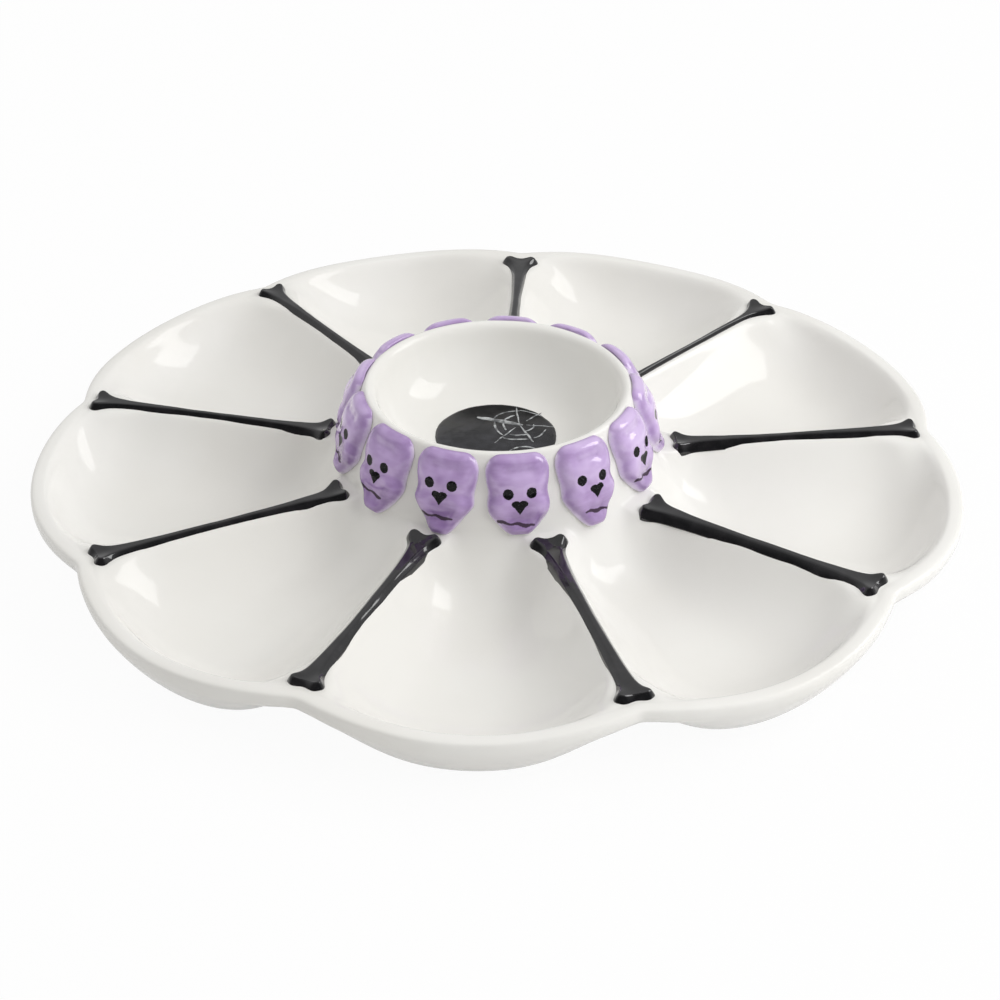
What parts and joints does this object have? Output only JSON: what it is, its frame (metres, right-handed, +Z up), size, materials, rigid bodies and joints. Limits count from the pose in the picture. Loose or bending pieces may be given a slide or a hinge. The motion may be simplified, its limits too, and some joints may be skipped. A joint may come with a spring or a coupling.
{
  "type": "tapas plate",
  "caption": "Scalloped glazed plate of scooped compartments round a raised dip bowl, with bones lying along the ridges and skulls round the bowl's wall.",
  "frame": {"origin": "on the table, on the axis of the dip bowl, under the middle of the plate", "axes": "+Z up; +Y along one of the ridges, away from the viewer; -Y along the middle of a lobe, towards the viewer; +X to the viewer's right"},
  "size_m": [0.3202, 0.3179, 0.054],
  "materials": {
    "white_glaze": "clear gloss glaze over warm white earthenware",
    "bone_glaze": "gloss black glaze",
    "skull_glaze": "gloss lilac glaze",
    "disc_glaze": "gloss black glaze"
  },
  "bodies": {
    "root": {"dish": "white_glaze", "dip_bowl": "white_glaze", "well_disc": "disc_glaze", "bone_1": "bone_glaze", "bone_2": "bone_glaze", "bone_3": "bone_glaze", "bone_4": "bone_glaze", "bone_5": "bone_glaze", "bone_6": "bone_glaze", "bone_7": "bone_glaze", "bone_8": "bone_glaze", "bone_9": "bone_glaze", "skull_1": "skull_glaze", "skull_2": "skull_glaze", "skull_3": "skull_glaze", "skull_4": "skull_glaze", "skull_5": "skull_glaze", "skull_6": "skull_glaze", "skull_7": "skull_glaze", "skull_8": "skull_glaze", "skull_9": "skull_glaze", "skull_10": "skull_glaze", "skull_11": "skull_glaze", "skull_12": "skull_glaze", "skull_13": "skull_glaze"}
  },
  "joints": []
}
